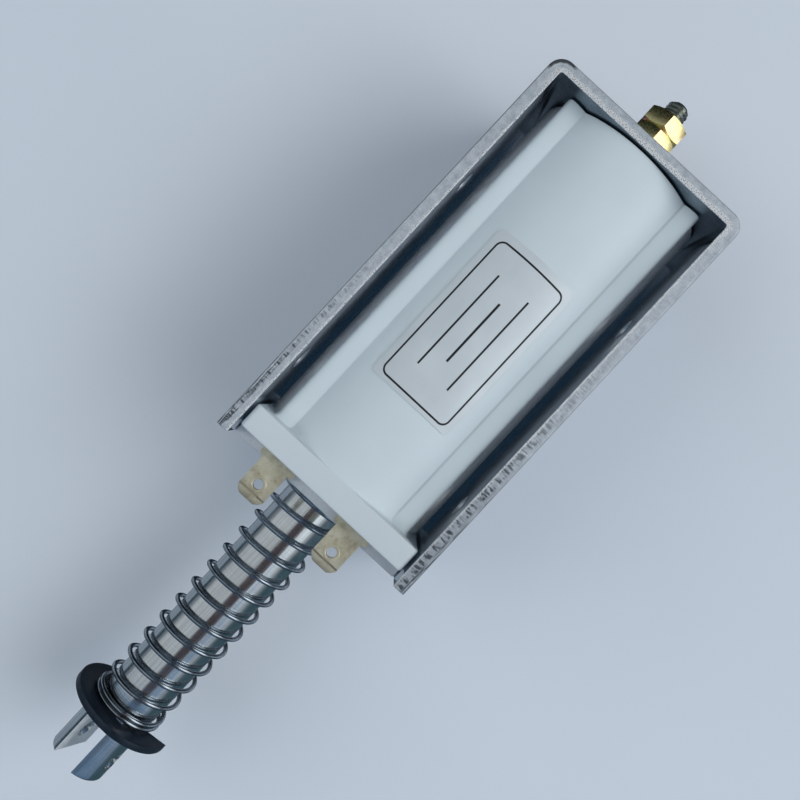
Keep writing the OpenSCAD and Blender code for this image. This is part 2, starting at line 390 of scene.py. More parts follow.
# ---------------------------------------------------------------- materials
def m_zinc_face(name="zinc_face", base=(0.74, 0.78, 0.83), rough=0.34, metal=1.0):
    t = Tree(name)
    cloud = t.noise(180, 4, 0.6)
    fine = t.noise(2600, 3, 0.6)
    roll = t.noise(900, 3, 0.5, t.stretch(0.12, 0.12, 1.0))
    v = t.math("ADD", t.math("MULTIPLY", cloud, 0.6), t.math("MULTIPLY", fine, 0.4))
    c = t.ramp(v, [(0.3, tuple(x * 0.85 for x in base)), (0.52, base), (0.75, tuple(min(1, x * 1.09) for x in base))])
    r = t.range(t.math("ADD", cloud, t.math("MULTIPLY", roll, 0.5)), 0.5, 1.0, rough - 0.07, rough + 0.12)
    b = t.bump(t.math("ADD", t.math("MULTIPLY", roll, 0.7), t.math("MULTIPLY", fine, 0.3)), 0.25, 0.00002)
    return t.set(color=c, rough=r, metal=metal, normal=b)


def m_inner(name="zinc_inner"):
    """Inner faces of the strip, bright along the legs; on the rear rougher, with painted shade making it dark."""
    t = Tree(name)
    cloud = t.noise(180, 4, 0.6)
    fine = t.noise(2600, 3, 0.6)
    x = t.xyz()[0]
    rear = t.range(x, (X_BACK + T + 0.6) / 1000, (X_BACK + T + 0.05) / 1000)
    v = t.math("ADD", t.math("MULTIPLY", cloud, 0.7), t.math("MULTIPLY", fine, 0.3))
    a = t.ramp(v, [(0.3, (0.72, 0.78, 0.86)), (0.6, (0.86, 0.90, 0.95))])
    # painted shade: this dark ramp colours the rear inner face, mixed in by the rear mask
    b = t.ramp(v, [(0.3, (0.12, 0.155, 0.19)), (0.7, (0.36, 0.42, 0.47))])
    r = t.math("ADD", t.math("MULTIPLY", rear, 0.20), t.range(cloud, 0.3, 0.7, 0.12, 0.22))
    return t.set(color=t.mix(rear, a, b), rough=r, metal=1.0, normal=t.bump(v, 0.2, 0.00002))


def m_sheared(name="zinc_cut_edge"):
    """Sheared edge of the strip: the map's u runs along the strip and v across it from the inner face, in mm."""
    t = Tree(name)
    uv = t.uv("strip")
    s, v, _ = t.xyz(uv)
    mottle = t.noise(0.9, 4, 0.6, uv)
    grain = t.noise(5.5, 4, 0.7, uv)
    wander = t.noise(0.5, 3, 0.6, uv)
    chat = t.noise(1.0, 3, 0.65, t.stretch(2.6, 0.55, 1.0, uv))
    long = t.noise(1.0, 3, 0.6, t.stretch(0.35, 5.0, 1.0, uv))
    vv = t.math("ADD", v, t.math("MULTIPLY", t.math("SUBTRACT", wander, 0.5), 0.7))
    left = t.range(s, 36, 14)
    right = t.range(s, 126, 158)
    right2 = t.range(s, 148, 172)
    rear = t.math("MULTIPLY", t.range(s, 66, 71), t.range(s, 111, 105))
    end = t.range(s, 280, 281)
    base = t.ramp(t.math("ADD", t.math("MULTIPLY", mottle, 0.5), t.math("MULTIPLY", grain, 0.5)),
                  [(0.30, (0.34, 0.39, 0.44)), (0.45, (0.56, 0.62, 0.68)), (0.58, (0.72, 0.78, 0.84)), (0.72, (0.92, 0.97, 1.0))])
    # burnished band along the inner edge, with a painted highlight and painted glints, wider and brighter behind
    hi = t.math("MAXIMUM", t.range(vv, 0.42, 0.16), t.math("MULTIPLY", t.range(vv, 1.0, 0.72), rear))
    painted_glint = t.ramp(grain, [(0.40, (0.16, 0.19, 0.23)), (0.46, (0.80, 0.85, 0.90)), (0.53, (1.0, 1.0, 1.0))])
    c = t.mix(hi, base, painted_glint)
    # chatter marks across the strip, strongest near the front ends
    pit = t.range(chat, 0.50, 0.58)
    mask_l = t.math("MULTIPLY", left, t.math("MULTIPLY", t.range(v, 0.85, 1.15), t.range(v, 1.75, 1.55)))
    mask_r = t.math("MULTIPLY", right, t.math("MULTIPLY", t.range(v, 0.12, 0.35), t.range(v, 1.45, 1.2)))
    mark = t.math("MULTIPLY", pit, t.math("MAXIMUM", mask_l, mask_r))
    c = t.mix(t.math("MULTIPLY", mark, 0.9), c, (0.045, 0.055, 0.068))
    # drawn lines along the outer side near the front
    line = t.math("MULTIPLY", t.range(long, 0.47, 0.56), t.math("MAXIMUM", t.math("MULTIPLY", t.range(s, 20, 8), t.range(v, 0.9, 1.1)), t.math("MULTIPLY", right2, t.range(v, 1.3, 1.4))))
    c = t.mix(t.math("MULTIPLY", line, 0.85), c, (0.05, 0.065, 0.08))
    # painted dark reflection on the top of the +Y leg, darker towards its front end
    c = t.mix(t.math("MULTIPLY", right2, 0.30), c, (0.10, 0.12, 0.14))
    # painted shade along the rounded outer edge
    c = t.mix(t.math("MULTIPLY", t.range(v, 1.80, 1.93), 0.75), c, (0.10, 0.13, 0.165))
    # painted shade: dark arc round the outside of the left rear bend
    bend_painted_shade = t.math("MULTIPLY", t.math("MULTIPLY", t.range(s, 69.3, 70.0), t.range(s, 73.6, 72.8)), t.range(vv, 1.38, 1.56))
    c = t.mix(t.math("MULTIPLY", bend_painted_shade, 0.9), c, (0.022, 0.030, 0.036))
    c = t.mix(end, c, (0.09, 0.115, 0.135))
    h = t.math("SUBTRACT", t.math("MULTIPLY", grain, 0.9), t.math("MULTIPLY", mark, 0.7))
    return t.set(color=c, rough=t.range(grain, 0.3, 0.7, 0.34, 0.56), metal=0.5, normal=t.bump(h, 0.8, 0.00008))


def m_nylon(name="white_nylon", base=(0.67, 0.765, 0.81), rough=0.40):
    t = Tree(name)
    big = t.noise(70, 3, 0.5)
    fine = t.noise(3200, 3, 0.6)
    flow = t.noise(220, 3, 0.55, t.stretch(0.25, 1, 1))
    c = t.mix(t.range(big, 0.3, 0.7), tuple(x * 0.965 for x in base), tuple(min(1, x * 1.02) for x in base))
    c = t.mix(t.math("MULTIPLY", t.range(flow, 0.55, 0.8), 0.10), c, tuple(x * 0.88 for x in base))
    x, y, _ = t.xyz()
    # painted light: the flanks beyond |y| 13 mm, behind the flange, made whiter
    flank_painted_light = t.math("MULTIPLY", t.range(t.math("ABSOLUTE", y), 0.0130, 0.0135), t.range(x, 0.0078, 0.0072))
    c = t.mix(t.math("MULTIPLY", flank_painted_light, 0.95), c, (0.95, 0.97, 0.98))
    # painted shade: the flange, from x 7.9 mm forward, made greyer
    c = t.mix(t.math("MULTIPLY", t.range(x, 0.0079, 0.0083), 0.6), c, (0.62, 0.68, 0.725))
    # painted shade in the crease beside the +Y shoulder
    crease_painted_shade = t.math("MULTIPLY", t.range(t.math("ABSOLUTE", t.math("SUBTRACT", y, 0.00998)), 0.00030, 0.00008), t.range(x, 0.0078, 0.0060))
    c = t.mix(t.math("MULTIPLY", crease_painted_shade, 0.40), c, (0.30, 0.35, 0.38))
    r = t.range(t.math("ADD", fine, flow), 0.6, 1.4, rough - 0.05, rough + 0.08)
    b = t.bump(t.math("ADD", t.math("MULTIPLY", fine, 0.5), flow), 0.12, 0.00003)
    return t.set(color=c, rough=r, spec=0.5, sss=0.12, sss_radius=(0.8, 0.9, 1.0), sss_scale=0.0012, normal=b)


def m_steel(name, base=(0.66, 0.68, 0.71), rough=0.14, lines=0.5, metal=1.0, streak=0.0):
    """Turned or drawn bright steel with faint marks along X."""
    t = Tree(name)
    long = t.noise(2600, 3, 0.6, t.stretch(0.03, 1, 1))
    turn = t.noise(5200, 2, 0.5, t.stretch(1, 0.05, 0.05))
    cloud = t.noise(260, 4, 0.6)
    c = t.ramp(cloud, [(0.3, tuple(x * 0.86 for x in base)), (0.6, base), (0.8, tuple(min(1, x * 1.1) for x in base))])
    if streak:
        c = t.mix(t.math("MULTIPLY", t.range(long, 0.42, 0.62), streak), c, tuple(x * 0.66 for x in base))
        c = t.mix(t.math("MULTIPLY", t.range(turn, 0.55, 0.70), streak * 0.5), c, tuple(x * 0.72 for x in base))
    r = t.range(t.math("ADD", t.math("MULTIPLY", cloud, 0.7), t.math("MULTIPLY", long, 0.3)), 0.3, 0.75, rough * 0.75, rough * 1.6)
    b = t.bump(t.math("ADD", long, t.math("MULTIPLY", turn, 0.5)), 0.16 * lines, 0.00003)
    return t.set(color=c, rough=r, metal=metal, normal=b)


def m_wire(name="spring_wire"):
    t = Tree(name)
    f = t.noise(1800, 3, 0.6)
    d = t.noise(420, 3, 0.6)
    c = t.ramp(d, [(0.3, (0.27, 0.31, 0.35)), (0.6, (0.40, 0.45, 0.50)), (0.8, (0.52, 0.57, 0.62))])
    return t.set(color=c, rough=t.range(f, 0.3, 0.7, 0.18, 0.28), metal=1.0, normal=t.bump(f, 0.05, 0.00001))


def m_black(name="phosphate_black", base=(0.018, 0.030, 0.048), rough=0.36):
    t = Tree(name)
    f = t.noise(2200, 4, 0.65)
    g = t.noise(260, 4, 0.6)
    c = t.ramp(t.math("ADD", t.math("MULTIPLY", f, 0.5), t.math("MULTIPLY", g, 0.5)),
               [(0.35, tuple(x * 0.6 for x in base)), (0.55, base), (0.74, tuple(x * 2.6 + 0.006 for x in base))])
    return t.set(color=c, rough=t.range(g, 0.3, 0.7, rough - 0.06, rough + 0.12), metal=0.35, spec=0.5, normal=t.bump(f, 0.35, 0.00003))


def m_rubber(name="black_rubber"):
    t = Tree(name)
    f = t.noise(1500, 4, 0.6)
    c = t.ramp(f, [(0.3, (0.012, 0.012, 0.013)), (0.7, (0.035, 0.035, 0.036))])
    return t.set(color=c, rough=t.range(f, 0.3, 0.7, 0.55, 0.75), spec=0.4, normal=t.bump(f, 0.4, 0.00005))


def m_tab(name="dull_brass"):
    t = Tree(name)
    cloud = t.noise(420, 5, 0.65)
    stain = t.noise(1300, 4, 0.7)
    scr = t.noise(3800, 2, 0.5, t.stretch(0.05, 1.0, 1.0))
    scr2 = t.noise(3000, 2, 0.5, t.stretch(1.0, 0.08, 1.0))
    c = t.ramp(cloud, [(0.28, (0.42, 0.375, 0.25)), (0.5, (0.66, 0.61, 0.45)), (0.72, (0.78, 0.76, 0.61))])
    c = t.mix(t.math("MULTIPLY", t.range(stain, 0.58, 0.74), 0.6), c, (0.20, 0.15, 0.09))
    c = t.mix(t.math("MULTIPLY", t.range(scr, 0.66, 0.78), 0.6), c, (0.78, 0.75, 0.62))
    c = t.mix(t.math("MULTIPLY", t.range(scr2, 0.70, 0.80), 0.5), c, (0.16, 0.13, 0.10))
    # worn line that a connector leaves across the tab
    x, y, _ = t.xyz()
    wav = t.math("MULTIPLY", t.math("SUBTRACT", stain, 0.5), 0.0004)
    worn = t.range(t.math("ABSOLUTE", t.math("ADD", t.math("SUBTRACT", x, (mm("terminal_left")[1][0] - 1.35) / 1000), wav)), 0.00022, 0.00008)
    c = t.mix(t.math("MULTIPLY", worn, t.range(cloud, 0.35, 0.55, 0.25, 0.75)), c, (0.13, 0.085, 0.05))
    c = t.mix(t.math("MULTIPLY", t.range(x, (mm("terminal_left")[1][0] - 0.9) / 1000, mm("terminal_left")[1][0] / 1000), 0.5), c, (0.36, 0.24, 0.13))
    h = t.math("SUBTRACT", t.math("MULTIPLY", cloud, 0.4), t.math("ADD", t.range(scr, 0.66, 0.78), t.range(scr2, 0.70, 0.80)))
    return t.set(color=c, rough=t.range(stain, 0.3, 0.7, 0.36, 0.55), metal=0.55, normal=t.bump(h, 0.35, 0.00003))


def m_yellow_zinc(name="yellow_zinc"):
    t = Tree(name)
    a = t.noise(330, 3, 0.5, None, 0.6)
    f = t.noise(2600, 3, 0.6)
    c = t.ramp(a, [(0.30, (0.78, 0.54, 0.45)), (0.42, (0.82, 0.64, 0.38)), (0.52, (0.85, 0.73, 0.36)), (0.64, (0.78, 0.76, 0.38)), (0.76, (0.82, 0.60, 0.42))])
    return t.set(color=c, rough=t.range(f, 0.3, 0.7, 0.22, 0.36), metal=1.0, normal=t.bump(f, 0.25, 0.00002))


def m_rod(name="dark_rod"):
    t = Tree(name)
    f = t.noise(1600, 3, 0.6)
    c = t.ramp(f, [(0.3, (0.28, 0.30, 0.27)), (0.6, (0.50, 0.53, 0.49)), (0.8, (0.70, 0.73, 0.69))])
    return t.set(color=c, rough=t.range(f, 0.3, 0.7, 0.20, 0.36), metal=1.0, normal=t.bump(f, 0.2, 0.00002))


def m_brass(name="drawn_brass", base=(0.78, 0.60, 0.28), rough=0.25):
    t = Tree(name)
    f = t.noise(1800, 3, 0.6, t.stretch(0.06, 1, 1))
    g = t.noise(300, 4, 0.6)
    c = t.ramp(g, [(0.3, tuple(x * 0.75 for x in base)), (0.65, base)])
    return t.set(color=c, rough=t.range(f, 0.3, 0.7, rough - 0.06, rough + 0.12), metal=1.0, normal=t.bump(f, 0.25, 0.00002))


def m_copper(name="enamelled_copper"):
    """Turns of enamelled wire lying side by side round the coil."""
    t = Tree(name)
    x = t.xyz()[0]
    saw = t.math("PINGPONG", t.math("MULTIPLY", x, 2500.0), 0.5)
    g = t.noise(500, 3, 0.6)
    c = t.mix(t.math("MULTIPLY", saw, 2.0), (0.20, 0.06, 0.025), (0.72, 0.30, 0.13))
    c = t.mix(t.math("MULTIPLY", g, 0.3), c, (0.80, 0.42, 0.20))
    return t.set(color=c, rough=t.range(g, 0.3, 0.7, 0.22, 0.38), metal=0.9, coat=0.4, coat_rough=0.15, normal=t.bump(saw, 0.8, 0.0002))


def m_tape(name="polyester_tape"):
    t = Tree(name)
    g = t.noise(240, 4, 0.6)
    x = t.xyz()[0]
    lap = t.math("PINGPONG", t.math("MULTIPLY", x, 100.0), 0.5)
    c = t.mix(t.range(g, 0.3, 0.7), (0.72, 0.50, 0.06), (0.85, 0.64, 0.12))
    c = t.mix(t.math("MULTIPLY", t.range(lap, 0.47, 0.5), 0.5), c, (0.45, 0.30, 0.04))
    return t.set(color=c, rough=0.3, spec=0.5, coat=0.3, coat_rough=0.1, normal=t.bump(g, 0.2, 0.0001))


def m_fibre(name="pressed_fibre"):
    t = Tree(name)
    f = t.noise(1200, 5, 0.7, t.stretch(1, 0.3, 1))
    c = t.ramp(f, [(0.3, (0.07, 0.06, 0.05)), (0.7, (0.17, 0.15, 0.12))])
    return t.set(color=c, rough=0.8, spec=0.3, normal=t.bump(f, 0.5, 0.0001))


def m_label(name="silver_film"):
    """Metallised film with a plain printed border and blank ruled lines."""
    lo, hi = mm("rating_label")
    cx = (lo[0] + hi[0]) / 2
    t = Tree(name)
    x, y, z = t.xyz()
    px = t.math("SUBTRACT", t.math("MULTIPLY", x, 1000.0), cx + 0.3)
    ps = t.math("MULTIPLY", t.math("ARCTAN2", y, t.math("SUBTRACT", z, AZ / 1000)), COIL_R + 0.12)
    r = 1.2
    qx = t.math("SUBTRACT", t.math("ABSOLUTE", px), 12.9 - r)
    qy = t.math("SUBTRACT", t.math("ABSOLUTE", ps), 6.4 - r)
    ox, oy = t.math("MAXIMUM", qx, 0.0), t.math("MAXIMUM", qy, 0.0)
    out = t.math("SQRT", t.math("ADD", t.math("MULTIPLY", ox, ox), t.math("MULTIPLY", oy, oy)))
    d = t.math("SUBTRACT", t.math("ADD", out, t.math("MINIMUM", t.math("MAXIMUM", qx, qy), 0.0)), r)
    wob = t.math("MULTIPLY", t.math("SUBTRACT", t.noise(1400, 2, 0.5), 0.5), 0.03)
    ink = t.range(t.math("ADD", t.math("ABSOLUTE", d), wob), 0.13, 0.18, 1.0, 0.0)
    for at, half, mid, w in ((2.9, 8.6, 0.0, 0.13), (0.0, 5.6, 0.0, 0.16), (-2.9, 8.6, 0.0, 0.13)):
        a = t.range(t.math("ABSOLUTE", t.math("SUBTRACT", ps, at)), w, w + 0.05, 1.0, 0.0)
        b = t.range(t.math("ABSOLUTE", t.math("SUBTRACT", px, mid)), half, half + 0.05, 1.0, 0.0)
        ink = t.math("MAXIMUM", ink, t.math("MULTIPLY", a, b))
    g = t.noise(160, 3, 0.5)
    f = t.noise(4200, 2, 0.5)
    silver = t.ramp(g, [(0.3, (0.62, 0.685, 0.725)), (0.7, (0.69, 0.75, 0.785))])
    c = t.mix(ink, silver, (0.012, 0.013, 0.018))
    metal = t.math("MULTIPLY", t.math("SUBTRACT", 1.0, ink), 0.12)
    rough = t.math("ADD", t.range(f, 0.3, 0.7, 0.40, 0.48), t.math("MULTIPLY", ink, 0.12))
    return t.set(color=c, rough=rough, metal=metal, spec=0.5, normal=t.bump(t.math("ADD", f, t.math("MULTIPLY", g, 2.0)), 0.08, 0.00002))


M = {
    "face": m_zinc_face(),
    "inner": m_inner(),
    "cut": m_sheared(),
    "plate": m_zinc_face("zinc_plate", (0.80, 0.84, 0.87), 0.42, 0.55),
    "nylon": m_nylon(),
    "bobbin": m_nylon("bobbin_nylon", (0.62, 0.61, 0.55), 0.42),
    "plunger": m_steel("bright_steel", (0.94, 0.97, 0.985), 0.155, 2.2, 1.0, 0.5),
    "milled": m_steel("milled_steel", (0.86, 0.90, 0.92), 0.36, 1.6, 0.35),
    "core": m_steel("core_steel", (0.45, 0.46, 0.48), 0.3, 1.5),
    "washer": m_zinc_face("washer_zinc", (0.60, 0.62, 0.64), 0.3),
    "wire": m_wire(),
    "clip": m_black(),
    "rubber": m_rubber(),
    "tab": m_tab(),
    "nut": m_yellow_zinc(),
    "rod": m_rod(),
    "brass": m_brass(),
    "bronze": m_brass("sintered_bronze", (0.55, 0.36, 0.18), 0.42),
    "copper": m_copper(),
    "tape": m_tape(),
    "fibre": m_fibre(),
    "label": m_label(),
}


# ---------------------------------------------------------------- yoke frame
def yoke():
    ri = 0.4
    half = IN_W / 2
    xr = X_BACK + T
    path = []  # (point on the inner face, outward normal, length along the inner face)
    step = 0.55
    n = int((X_FRONT - xr - ri) / step)
    for i in range(n + 1):
        x = X_FRONT + (xr + ri - X_FRONT) * i / n
        path.append(((x, -half), (0, -1)))
    for i in range(1, 12):
        a = math.radians(-90 - 90 * i / 12)
        path.append(((xr + ri + ri * math.cos(a), -half + ri + ri * math.sin(a)), (math.cos(a), math.sin(a))))
    n = int((IN_W - 2 * ri) / step)
    for i in range(n + 1):
        y = -half + ri + (IN_W - 2 * ri) * i / n
        path.append(((xr, y), (-1, 0)))
    for i in range(1, 12):
        a = math.radians(180 - 90 * i / 12)
        path.append(((xr + ri + ri * math.cos(a), half - ri + ri * math.sin(a)), (math.cos(a), math.sin(a))))
    n = int((X_FRONT - xr - ri) / step)
    for i in range(n + 1):
        x = xr + ri + (X_FRONT - xr - ri) * i / n
        path.append(((x, half), (0, 1)))
    # cross-section: u across the strip from the inner face, z up
    ra, rb = 0.10, 0.26
    sec = []
    for z in (ra, FRAME_H * 0.25, FRAME_H * 0.5, FRAME_H * 0.75):
        sec.append((0.0, z))
    for i in range(4):
        a = math.radians(180 - 90 * i / 3)
        sec.append((ra + ra * math.cos(a), FRAME_H - ra + ra * math.sin(a)))
    for i in range(1, 8):
        sec.append((ra + (T - ra - rb) * i / 8, FRAME_H))
    for i in range(5):
        a = math.radians(90 - 90 * i / 4)
        sec.append((T - rb + rb * math.cos(a), FRAME_H - rb + rb * math.sin(a)))
    for z in (FRAME_H * 0.75, FRAME_H * 0.5, FRAME_H * 0.25):
        sec.append((T, z))
    for i in range(5):
        a = math.radians(0 - 90 * i / 4)
        sec.append((T - rb + rb * math.cos(a), rb + rb * math.sin(a)))
    for i in range(1, 8):
        sec.append((T - rb - (T - ra - rb) * i / 8, 0.0))
    for i in range(3):
        a = math.radians(-90 - 90 * i / 3)
        sec.append((ra + ra * math.cos(a), ra + ra * math.sin(a)))
    m = len(sec)
    k = len(path)
    # gentle roughness of the sheared edges, always inwards
    rough = np.abs(RNG.normal(0, 1, (k, m)))
    for _ in range(1):
        rough = (rough + np.roll(rough, 1, 0) + np.roll(rough, 1, 1)) / 3
    verts, along = [], []
    s = 0.0
    last = None
    for i, (p, nn) in enumerate(path):
        q = (p[0] + nn[0] * T / 2, p[1] + nn[1] * T / 2)
        if last:
            s += math.hypot(q[0] - last[0], q[1] - last[1])
        last = q
        e = 0.0
        for j, (u, z) in enumerate(sec):
            dz = 0.0
            if z > FRAME_H - 0.02 and 0.15 < u < T - 0.3:
                dz = -0.035 * min(1.5, rough[i, j])
            elif z < 0.02 and 0.15 < u < T - 0.3:
                dz = 0.02 * min(1.5, rough[i, j])
            ins = 0.0
            if i in (0, k - 1):
                ins = 0.12
            uu = min(max(u, ins), T - ins)
            zz = min(max(z + dz, ins), FRAME_H - ins)
            verts.append((p[0] + nn[0] * uu, p[1] + nn[1] * uu, zz))
        along.append(s)
    # pull the rings next to the ends in, so that the ends have a small round edge
    faces = grid_faces(k, m)
    faces.append(tuple(reversed(range(m))))
    faces.append(tuple((k - 1) * m + j for j in range(m)))
    o = new_object("yoke_frame_visual", verts, faces)
    for base in (m, (k - 2) * m):
        for j in range(m):
            v = o.data.vertices[base + j].co
            v.x = X_FRONT - 0.12
    # the map of the strip, in mm: length along it and place across it
    uv = o.data.uv_layers.new(name="strip")
    co = [v.co.copy() for v in o.data.vertices]
    for f in o.data.polygons:
        for li in f.loop_indices:
            vi = o.data.loops[li].vertex_index
            i, j = divmod(vi, m)
            u, z = sec[j]
            if len(f.vertices) > 4:
                uv.data[li].uv = (z + 300, u)
            elif abs(f.normal.z) > 0.6:
                uv.data[li].uv = (along[i], u)
            else:
                uv.data[li].uv = (along[i], z + 5)
    recalc(o)
    for key in ("face", "cut", "inner"):
        o.data.materials.append(M[key])
    for f in o.data.polygons:
        u = sum(sec[i % m][0] for i in f.vertices) / len(f.vertices)
        if abs(f.normal.z) > 0.35 or len(f.vertices) > 4:
            f.material_index = 1
        elif u < 0.06:
            f.material_index = 2
    # notches for the plate's tenons
    for sgn in (-1, 1):
        y0, y1 = sgn * (half - 0.5), sgn * (half + T + 0.5)
        boolean(o, box_mesh("c", (X_PLATE, min(y0, y1), AZ - 6), (X_FRONT + 1, max(y0, y1), AZ + 6)))
    # tapped holes with a small countersink
    xm = X_BACK + 39.75
    for sgn in (-1, 1):
        for tx in (-18, 18):
            prof = [(-0.5, 2.3), (0.35, 1.65), (T - 0.2, 1.65), (T + 0.5, 2.3)]
            c = lathe("c", prof, 48, axis_z=0)
            rot = Matrix.Rotation(math.radians(90 if sgn > 0 else -90), 4, "Z")
            c.data.transform(Matrix.Translation((xm + tx, sgn * half, 26)) @ rot)
            boolean(o, c)
    boolean(o, lathe("c", [(X_BACK - 1, 4.6), (X_BACK + 0.25, 4.02), (X_BACK + T + 1, 4.02)], 64))
    return done(o, "frame_body", ["yoke_frame"], sharp=40)


# ---------------------------------------------------------------- front plate
def front_plate():
    a, b = (PH[1] - PL[1]) / 2, (PH[2] - PL[2]) / 2
    w = IN_W / 2 - 0.2
    th = 5.95
    pts = [(-w, -b), (w, -b), (w, -th), (a, -th), (a, th), (w, th), (w, b), (-w, b), (-w, th), (-a, th), (-a, -th), (-w, -th)]
    o = prism("front_plate_visual", [(y, AZ + z) for y, z in pts], X_PLATE, X_FRONT)
    boolean(o, lathe("c", [(X_PLATE - 1, 5.52), (X_FRONT - 0.2, 5.52), (X_FRONT + 0.3, 6.0)], 96))
    # staking marks that spread the tenons
    for sgn in (-1, 1):
        for dz in (-3.2, 3.2):
            c = prism("c", [(sgn * (a + 0.4), AZ + dz - 0.5), (sgn * (a - 0.45), AZ + dz), (sgn * (a + 0.4), AZ + dz + 0.5)], X_PLATE + 0.3, X_FRONT - 0.3)
            boolean(o, c)
    tidy(o)
    bevel(o, 0.12, 2)
    return done(o, "frame_body", ["front_plate"], [M["plate"]], sharp=40)


# ---------------------------------------------------------------- coil housing
def rounded_rect_r(th, a, b, rc):
    """Distance from the centre to a rectangle with round corners, in direction th."""
    c, s = abs(math.cos(th)), abs(math.sin(th))
    t = min(a / c if c > 1e-9 else 1e9, b / s if s > 1e-9 else 1e9)
    x, y = t * c, t * s
    if x > a - rc and y > b - rc:
        # ray against the corner's circle
        cx, cy = a - rc, b - rc
        bq = c * cx + s * cy
        t = bq + math.sqrt(max(0.0, bq * bq - (cx * cx + cy * cy - rc * rc)))
    return t


def smax(a, b, k):
    h = max(k - abs(a - b), 0.0) / k
    return max(a, b) + h * h * k * 0.25


def housing():
    n = 960
    ths = [PI2 * j / n for j in range(n)]

    def shoulder(t):
        r = rounded_rect_r(t, SHOULDER_Y, SHOULDER_Z, 0.9)
        y, z = abs(r * math.cos(t)), abs(r * math.sin(t))
        if z > 9.5:  # crowned top
            r += 0.42 * max(0.0, 1 - ((y - 11.6) / 1.6) ** 2) / abs(math.sin(t))
        return r

    body = [smax(COIL_R - 0.02, shoulder(t), 0.10) for t in ths]
    flange = [max(b_, rounded_rect_r(t, FLANGE_W / 2, COIL_R, 0.8)) for t, b_ in zip(ths, body)]
    rings = []

    def ring(xs, rs):
        rings.append([(xs[j] if isinstance(xs, list) else xs, rs[j] * math.cos(ths[j]), AZ + rs[j] * math.sin(ths[j])) for j in range(n)])

    rings_in = []
    er = 0.22
    for i in range(6):  # rear edge
        a = math.radians(90 * i / 5)
        ring(X_COIL + er * (1 - math.cos(a)) * 1.0, [r - er * (1 - math.sin(a)) for r in body])
    for x in np.linspace(X_COIL + 3, X_FLANGE - 3, 12):
        ring(float(x), body)
    D = [f - b_ for f, b_ in zip(flange, body)]
    of = [min(0.8, 0.30 * d) for d in D]
    oe = [min(0.35, 0.30 * d) for d in D]
    ring([X_FLANGE - 1.2] * n, body)
    for i in range(7):  # hollow fillet in front of the flange
        a = math.radians(90 * i / 6)
        ring([X_FLANGE - of[j] * (1 - math.sin(a)) - 0.002 * (6 - i) for j in range(n)], [body[j] + of[j] * (1 - math.cos(a)) for j in range(n)])
    for i in range(1, 8):  # round rear edge of the flange
        a = math.radians(90 * i / 7)
        ring([X_FLANGE + oe[j] * (1 - math.cos(a)) + 0.002 * i for j in range(n)], [flange[j] - oe[j] * (1 - math.sin(a)) for j in range(n)])
    ring(X_FLANGE + FLANGE_T * 0.6, flange)
    for i in range(5):  # front edge
        a = math.radians(90 * i / 4)
        ring(X_PLATE - 0.3 * (1 - math.sin(a)), [f - 0.3 * (1 - math.cos(a)) for f in flange])
    ring(X_PLATE, [6.9] * n)
    ring(X_PLATE - 0.15, [6.75] * n)
    ring(X_FLANGE, [6.75] * n)
    ring(X_FLANGE, [14.05] * n)
    ring(X_COIL + 0.2, [14.05] * n)
    ring(X_COIL, [14.25] * n)
    verts = [v for r in rings for v in r]
    faces = grid_faces(len(rings), n)
    k = len(rings)
    faces += [((k - 1) * n + j, (k - 1) * n + (j + 1) % n, (j + 1) % n, j) for j in range(n)]
    o = new_object("coil_housing_visual", verts, faces)
    recalc(o)
    for node in ("terminal_left", "terminal_right"):
        lo, hi = mm(node)
        boolean(o, box_mesh("c", (X_PLATE - 1.4, lo[1] - 0.12, lo[2] - 0.12), (X_PLATE + 1, hi[1] + 0.12, hi[2] - 0.12 + 0.12)))
    return done(o, "frame_body", ["coil_housing"], [M["nylon"]], sharp=50)


